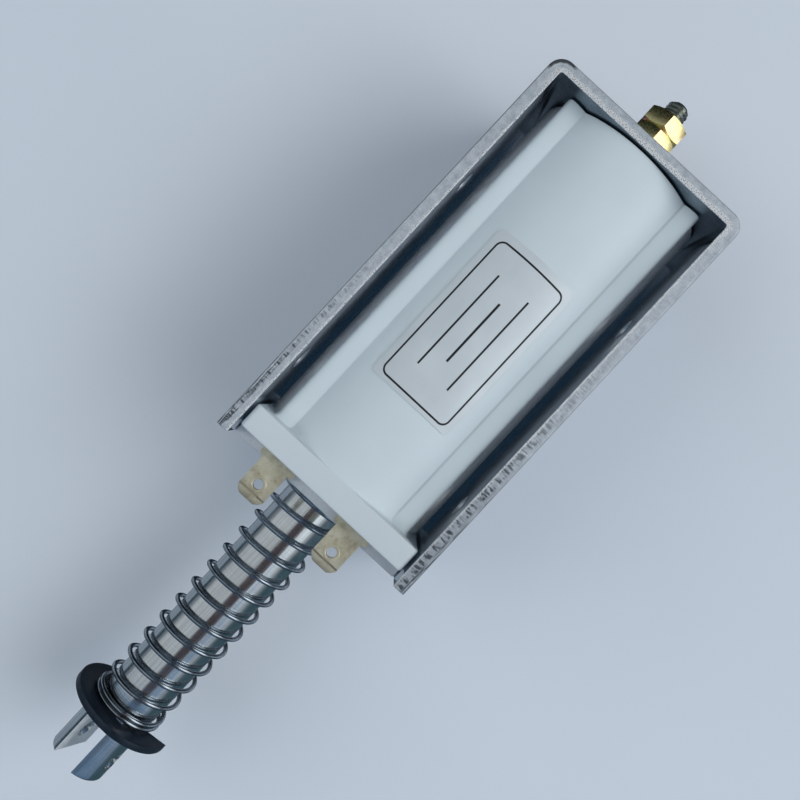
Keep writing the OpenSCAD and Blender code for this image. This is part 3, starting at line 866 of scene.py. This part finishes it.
# ---------------------------------------------------------------- terminals
def terminal(node):
    lo, hi = mm(node)
    y = (lo[1] + hi[1]) / 2
    x1 = hi[0]
    z0 = lo[2]
    t = 0.8
    x0 = lo[0]
    w, ws, ch = 2.4, 3.2, 1.05
    r = 0.35
    pts = [(x0, y - ws), (X_PLATE + 1.5 - r, y - ws), (X_PLATE + 1.5 - 0.1, y - ws + 0.1), (X_PLATE + 1.5, y - ws + r), (X_PLATE + 1.5, y - w),
           (x1 - ch, y - w), (x1 - ch * 0.35, y - w + ch * 0.55), (x1, y - w + ch),
           (x1, y + w - ch), (x1 - ch * 0.35, y + w - ch * 0.55), (x1 - ch, y + w),
           (X_PLATE + 1.5, y + w), (X_PLATE + 1.5, y + ws - r), (X_PLATE + 1.5 - 0.1, y + ws - 0.1), (X_PLATE + 1.5 - r, y + ws), (x0, y + ws)]
    o = prism(node + "_visual", pts, z0, z0 + t, "XY")
    hx = x1 - 2.8
    # tapered nose, as on a pressed tab
    for s, zz in ((1, z0 + t), (-1, z0)):
        v = [(x1 - 0.7, y - 4, zz), (x1 + 0.2, y - 4, zz - s * 0.26), (x1 + 0.2, y - 4, zz + s * 0.3), (x1 - 0.7, y + 4, zz), (x1 + 0.2, y + 4, zz - s * 0.26), (x1 + 0.2, y + 4, zz + s * 0.3)]
        c = new_object("c", v, [(0, 1, 2), (5, 4, 3), (0, 3, 4, 1), (1, 4, 5, 2), (2, 5, 3, 0)])
        recalc(c)
        boolean(o, c)
    tidy(o)
    bevel(o, 0.07, 2, 40)
    # raised rim round the latching hole
    prof = [(t - 0.3, 0.5), (t - 0.3, 1.32)] + [(t - 0.02 + 0.13 * math.sin(math.radians(a)), 1.06 + 0.24 * math.cos(math.radians(a))) for a in range(0, 181, 20)] + [(t - 0.02, 0.5)]
    c = lathe("c", prof, 64, closed=True, axis_z=0)
    c.data.transform(Matrix.Translation((hx, y, z0)) @ Matrix.Rotation(math.radians(-90), 4, "Y"))
    boolean(o, c, "UNION")
    c = lathe("c", [(-1, 0.8), (2, 0.8)], 64, axis_z=0)
    c.data.transform(Matrix.Translation((hx, y, z0)) @ Matrix.Rotation(math.radians(-90), 4, "Y"))
    boolean(o, c)
    return done(o, "frame_body", [node], [M["tab"]], sharp=35)


# ---------------------------------------------------------------- plunger
def plunger():
    prof = [(X_PLUNGER, PR - 0.5), (X_PLUNGER + 0.5, PR)]
    xs = list(np.arange(X_PLUNGER + 4, X_CLIP - 1, 4.0))
    prof += [(float(x), PR) for x in xs]
    g = PR - 0.5
    prof += [(X_CLIP - 0.12, PR), (X_CLIP - 0.04, PR - 0.08), (X_CLIP - 0.04, g), (X_CLIP + CLIP_T + 0.04, g), (X_CLIP + CLIP_T + 0.04, PR - 0.08), (X_CLIP + CLIP_T + 0.12, PR)]
    x = X_CLIP + CLIP_T + 0.8
    while x < X_TIP - 0.5:
        prof.append((x, PR))
        x += 0.9
    prof += [(X_TIP - 0.28, PR), (X_TIP - 0.13, PR - 0.05), (X_TIP - 0.04, PR - 0.14), (X_TIP, PR - 0.28)]
    o = lathe("plunger_visual", prof, 128)
    boolean(o, lathe("c", [(X_PLUNGER - 1, 2.02), (X_PLUNGER + 10, 2.02)], 48))
    rot = Matrix.Translation((0, 0, AZ)) @ Matrix.Rotation(ROLL, 4, "X")
    c = box_mesh("c", (X_TIP - SLOT_D, -SLOT_W / 2, -12), (X_TIP + 1, SLOT_W / 2, 12))
    c.data.transform(rot)
    boolean(o, c)
    c = lathe("c", [(-12, PIN_D / 2), (-4.86, PIN_D / 2 + 0.0), (12, PIN_D / 2)], 64, axis_z=0)
    c.data.transform(rot @ Matrix.Translation((X_TIP - PIN_X, 0, 0)) @ Matrix.Rotation(math.radians(90), 4, "Z"))
    boolean(o, c)
    tidy(o, 1e-3)
    bevel(o, 0.09, 2, 38)
    # the slot's cheeks are milled and duller than the turned surface
    o.data.materials.clear()
    for key in ("plunger", "milled"):
        o.data.materials.append(M[key])
    cheek = rot.to_3x3() @ Vector((0, 1, 0))
    for f in o.data.polygons:
        off = abs((f.center - Vector((0, 0, AZ))).dot(cheek))
        f.material_index = int(f.center.x > X_TIP - SLOT_D - 0.05 and abs(f.normal.dot(cheek)) > 0.97 and off < SLOT_W / 2 + 0.15)
    return done(o, "plunger_body", ["plunger"], sharp=32)


# ---------------------------------------------------------------- return spring
def spring():
    rc = (SPRING_OD - WIRE) / 2
    dead, opened, closed = 0.75, 11.6, 1.4
    start = X_FRONT + 0.05 + WIRE / 2
    op = X_FRONT + 1.25
    cl = X_CLIP - 0.05 - WIRE / 2 - closed * (WIRE + 0.02)

    def sx(t):
        if t < 0:
            return op + t * (op - start) / dead
        if t < opened:
            return op + t * (cl - op) / opened
        return cl + (t - opened) * (WIRE + 0.02)

    steps, sides = 56, 14
    t0, t1 = -dead, opened + closed
    n = int((t1 - t0) * steps)
    ts = np.linspace(t0, t1, n + 1)
    x = np.array([sx(t) for t in ts])
    # soften the change of pitch
    ker = np.hanning(17)
    ker /= ker.sum()
    pad = 8
    xe = np.concatenate([x[0] - (x[1] - x[0]) * np.arange(pad, 0, -1), x, x[-1] + (x[-1] - x[-2]) * np.arange(1, pad + 1)])
    x = np.convolve(xe, ker, "valid")
    verts = []
    for i, t in enumerate(ts):
        a = math.pi + PI2 * t
        p = Vector((x[i], rc * math.cos(a), rc * math.sin(a)))
        rad = Vector((0, math.cos(a), math.sin(a)))
        dx = (x[min(i + 1, n)] - x[max(i - 1, 0)]) / (ts[min(i + 1, n)] - ts[max(i - 1, 0)]) / PI2
        tan = Vector((dx, -rc * math.sin(a), rc * math.cos(a))).normalized()
        bi = rad.cross(tan).normalized()
        w = WIRE / 2
        if i == 0 or i == n:
            w *= 0.86
        for j in range(sides):
            b = PI2 * j / sides
            q = p + rad * (w * math.cos(b)) + bi * (w * math.sin(b))
            # ground flat at both ends
            q.x = min(max(q.x, X_FRONT + 0.04), X_CLIP - 0.04)
            verts.append((q.x, q.y, AZ + q.z))
    faces = grid_faces(n + 1, sides)
    faces.append(tuple(reversed(range(sides))))
    faces.append(tuple(n * sides + j for j in range(sides)))
    o = new_object("return_spring_visual", verts, faces)
    recalc(o)
    done(o, "frame_body", ["return_spring"], [M["wire"]], sharp=50)
    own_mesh(o)
    return o


# ---------------------------------------------------------------- clip
def clip():
    x0, x1 = X_CLIP, X_CLIP + CLIP_T
    o = lathe("e_clip_visual", [(x0, PR - 0.48), (x0, CLIP_R), (x1, CLIP_R), (x1, PR - 0.48)], 128, closed=True)
    place = Matrix.Translation((0, 0, AZ)) @ Matrix.Rotation(math.radians(-28), 4, "X")

    def cut(m):
        m.data.transform(place)
        boolean(o, m)

    # mouth, with round tips
    k = (5.9 - 3.9) / 7
    tip = [(CLIP_R - 0.75, 3.9 + k * (CLIP_R - 3.75)), (CLIP_R - 0.3, 4.06 + k * (CLIP_R - 3.3)), (CLIP_R - 0.06, 4.35 + k * (CLIP_R - 3.06)), (CLIP_R + 0.1, 5.0 + k * (CLIP_R - 3))]
    side = [(3, 3.9)] + tip + [(CLIP_R + 2, 7.5)]
    cut(prism("c", [(0, -3.9)] + [(y, -z) for y, z in side] + [(y, z) for y, z in reversed(side)] + [(0, 3.9)], x0 - 1, x1 + 1))
    for s in (-1, 1):
        turn = Matrix.Rotation(math.radians(s * 105), 4, "X")
        pts = [(0, -1.3)] + [(4.7 + 1.3 * math.cos(math.radians(a)), 1.3 * math.sin(math.radians(a))) for a in range(-90, 91, 10)] + [(0, 1.3)]
        c = prism("c", pts, x0 - 1, x1 + 1)
        c.data.transform(turn)
        cut(c)
    tidy(o, 1e-3)
    bevel(o, 0.12, 2, 40)
    return done(o, "plunger_body", ["e_clip"], [M["clip"]], sharp=40)


# ---------------------------------------------------------------- nuts, rod and stop pack
def nut(node):
    lo, hi = mm(node)
    x0, x1 = lo[0], hi[0]
    rc = NUT_AF / math.sqrt(3)
    pts = [(rc * math.cos(math.radians(90 + 60 * i)), AZ + rc * math.sin(math.radians(90 + 60 * i))) for i in range(6)]
    o = prism(node + "_visual", pts, x0 - 1, x1 + 1)
    c = 0.42
    boolean(o, lathe("c", [(x0, rc - 0.72), (x0 + c, rc + 0.01), (x1 - c, rc + 0.01), (x1, rc - 0.72)], 128), "INTERSECT")
    tidy(o, 1e-3)
    bevel(o, 0.07, 2, 25)
    boolean(o, lathe("c", [(x0 - 1, 2.9), (x0 + 0.45, 1.8), (x1 - 0.45, 1.8), (x1 + 1, 2.9)], 64))
    return done(o, "plunger_body", [node], [M["nut"]], sharp=24)


def rod():
    pitch = 0.7
    depth = 0.42
    crest = ROD_R - 0.03
    n = 72
    xs = list(np.arange(X_ROD, X_ROD + 10.2, 0.05))
    end = xs[-1]
    verts = []
    rings = 0
    for x in xs:
        u = x - X_ROD
        fade = min(1.0, max(0.0, (10.0 - u) / 0.7))
        lim = 1.25 + u * 1.1 if u < 0.7 else 9
        for j in range(n):
            th = PI2 * j / n
            ph = (x / pitch - th / PI2) % 1.0
            tri = abs(ph - 0.5) * 2  # 1 at the crest
            pr = min(1.0, max(0.0, (tri - 0.12) / 0.76))
            pr = pr * pr * (3 - 2 * pr) * 0.35 + pr * 0.65
            r = min(crest - depth * (1 - pr) * fade, lim)
            verts.append((x, r * math.cos(th), AZ + r * math.sin(th)))
        rings += 1
    for x in (end + 0.2, end + 4, -30.0, X_ROD_IN - 0.3, X_ROD_IN):
        r = ROD_R if x < X_ROD_IN - 0.1 else ROD_R - 0.25
        for j in range(n):
            th = PI2 * j / n
            verts.append((x, r * math.cos(th), AZ + r * math.sin(th)))
        rings += 1
    faces = grid_faces(rings, n)
    faces.append(tuple(range(n)))
    faces.append(tuple((rings - 1) * n + j for j in reversed(range(n))))
    o = new_object("push_rod_visual", verts, faces)
    recalc(o)
    return done(o, "plunger_body", ["push_rod"], [M["rod"]], sharp=60)


def rings_of(node, body, mat, b, r_out, r_in):
    lo, hi = mm(node)
    o = lathe(node + "_visual", ring_profile(lo[0], hi[0], r_out, r_in, b), 96, closed=True)
    return done(o, body, [node], [mat], sharp=40)


yoke()
front_plate()
housing()
terminal("terminal_left")
terminal("terminal_right")
plunger()
spring()
clip()
nut("stop_nut")
nut("lock_nut")
rod()
rings_of("stop_washer", "stop_body", M["washer"], 0.15, 4.5, 2.15)
rings_of("stop_bumper", "stop_body", M["rubber"], 0.35, 4.4, 2.1)

for node, mat in {
    "bobbin": "bobbin", "winding": "copper", "winding_tape": "tape", "start_lead": "copper", "finish_lead": "copper", "guide_tube": "brass",
    "fixed_core": "core", "rod_bush": "bronze", "residual_shim": "brass", "coil_pad": "fibre", "rating_label": "label",
}.items():
    me = frame["nodes"][node]
    me.data.materials.clear()
    me.data.materials.append(M[mat])


# ---------------------------------------------------------------- stage and light
def floor():
    me = bpy.data.meshes.new("floor")
    s = 4.0
    me.from_pydata([(-s, -s, 0), (s, -s, 0), (s, s, 0), (-s, s, 0)], [], [(0, 1, 2, 3)])
    o = bpy.data.objects.new("floor", me)
    bpy.context.scene.collection.objects.link(o)
    t = Tree("floor_card")
    g = t.noise(9, 3, 0.5)
    f = t.noise(900, 3, 0.5)
    c = t.mix(t.range(g, 0.3, 0.7), (0.69, 0.755, 0.838), (0.73, 0.795, 0.878))
    me.materials.append(t.set(color=c, rough=t.range(f, 0.3, 0.7, 0.62, 0.7), spec=0.25, normal=t.bump(f, 0.05, 0.0001)))
    o.visible_glossy = False


def area(name, loc, target, size, power, colour=(1, 1, 1)):
    li = bpy.data.lights.new(name, "AREA")
    li.shape = "RECTANGLE"
    li.size, li.size_y = size
    li.energy = power
    li.color = colour
    o = bpy.data.objects.new(name, li)
    bpy.context.scene.collection.objects.link(o)
    o.location = loc
    o.rotation_mode = "QUATERNION"
    o.rotation_quaternion = (Vector(target) - Vector(loc)).to_track_quat("-Z", "Y")
    return o


def world():
    w = bpy.data.worlds.new("studio")
    bpy.context.scene.world = w
    w.use_nodes = True
    t = w.node_tree
    t.nodes.clear()
    out = t.nodes.new("ShaderNodeOutputWorld")
    bg = t.nodes.new("ShaderNodeBackground")
    t.links.new(bg.outputs[0], out.inputs[0])
    co = t.nodes.new("ShaderNodeTexCoord").outputs["Generated"]
    sep = t.nodes.new("ShaderNodeSeparateXYZ")
    t.links.new(co, sep.inputs[0])
    x, y, z = sep.outputs

    def mth(op, a, b=0.0, clamp=False):
        n = t.nodes.new("ShaderNodeMath")
        n.operation = op
        n.use_clamp = clamp
        for i, v in enumerate((a, b)):
            if isinstance(v, bpy.types.NodeSocket):
                t.links.new(v, n.inputs[i])
            else:
                n.inputs[i].default_value = v
        return n.outputs[0]

    def soft(v, lo, hi):
        n = t.nodes.new("ShaderNodeMapRange")
        n.interpolation_type = "SMOOTHSTEP"
        t.links.new(v, n.inputs["Value"])
        n.inputs["From Min"].default_value = lo
        n.inputs["From Max"].default_value = hi
        return n.outputs[0]

    def mix(f, a, b):
        n = t.nodes.new("ShaderNodeMix")
        n.data_type = "RGBA"
        t.links.new(f, n.inputs[0])
        for i, v in ((6, a), (7, b)):
            if isinstance(v, bpy.types.NodeSocket):
                t.links.new(v, n.inputs[i])
            else:
                n.inputs[i].default_value = (*v, 1)
        return n.outputs[2]

    def inv(v):
        return mth("SUBTRACT", 1.0, v)

    def both(*v):
        r = v[0]
        for w_ in v[1:]:
            r = mth("MULTIPLY", r, w_)
        return r

    tilt = mth("MULTIPLY", mth("ARCTAN2", y, z), 180 / math.pi)  # degrees from straight up, towards +Y
    # ceiling, darker towards the horizon, and reaching only so far along X
    side = inv(soft(mth("ABSOLUTE", mth("SUBTRACT", x, 0.02)), 0.43, 0.50))
    c = mix(both(soft(z, 0.0, 0.40), side), (0.13, 0.165, 0.20), (0.58, 0.63, 0.66))
    # dark bar beside the camera, above the right side of the object
    c = mix(both(soft(tilt, 3.0, 5.0), inv(soft(tilt, 36.0, 40.0))), c, (0.075, 0.060, 0.066))
    # bright window beyond it, fading towards the fork
    c = mix(both(soft(tilt, 38.0, 42.0), inv(soft(tilt, 52.0, 84.0))), c, mix(soft(x, 0.16, 0.34), (1.15, 1.24, 1.30), (0.24, 0.35, 0.50)))
    # blue in front of the fork
    c = mix(soft(x, 0.43, 0.475), c, (0.13, 0.23, 0.37))
    # dark wall behind the upper left
    wall = both(soft(mth("MULTIPLY", x, -1.0), 0.18, 0.34), soft(mth("MULTIPLY", y, -1.0), 0.10, 0.30), inv(soft(z, 0.60, 0.72)))
    c = mix(wall, c, (0.010, 0.014, 0.012))
    # below the horizon: pale bench, dark along X, with dark stretches beside the plunger
    low = mix(soft(mth("ABSOLUTE", x), 0.46, 0.62), (0.60, 0.67, 0.78), (0.045, 0.062, 0.080))
    front = soft(x, 0.08, 0.14)
    low = mix(both(front, soft(tilt, 60.0, 88.0), inv(soft(tilt, 150.0, 170.0))), low, (0.060, 0.115, 0.145))
    low = mix(both(front, inv(soft(tilt, -104.0, -100.0))), low, (0.30, 0.37, 0.45))
    low = mix(both(front, inv(soft(tilt, -92.0, -90.0)), soft(tilt, -106.0, -103.0)), low, (0.030, 0.055, 0.075))
    low = mix(inv(soft(z, -0.96, -0.86)), low, (0.012, 0.028, 0.050))
    behind = both(soft(mth("MULTIPLY", x, -1.0), 0.18, 0.34), soft(mth("MULTIPLY", y, -1.0), 0.10, 0.30))
    low = mix(behind, low, (0.014, 0.019, 0.017))
    c = mix(soft(z, -0.06, 0.02), low, c)
    t.links.new(c, bg.inputs[0])
    bg.inputs[1].default_value = 0.65


floor()
world()
area("window", (-0.50, 0.75, 0.62), (0, 0, 0.02), (0.9, 0.6), 2.6)
area("window_top", (-0.35, 0.72, 0.95), (0, 0, 0.02), (0.9, 0.7), 3.8).visible_glossy = False
area("overhead", (0.10, 0.15, 1.30), (0, 0, 0.02), (1.8, 1.8), 2.1).visible_glossy = False
area("fill", (0.30, -0.80, 0.80), (0, 0, 0.02), (1.0, 1.0), 3.25).visible_glossy = False

sc = bpy.context.scene
sc.view_settings.view_transform = "Standard"
sc.view_settings.look = "None"
sc.view_settings.exposure = 0.0
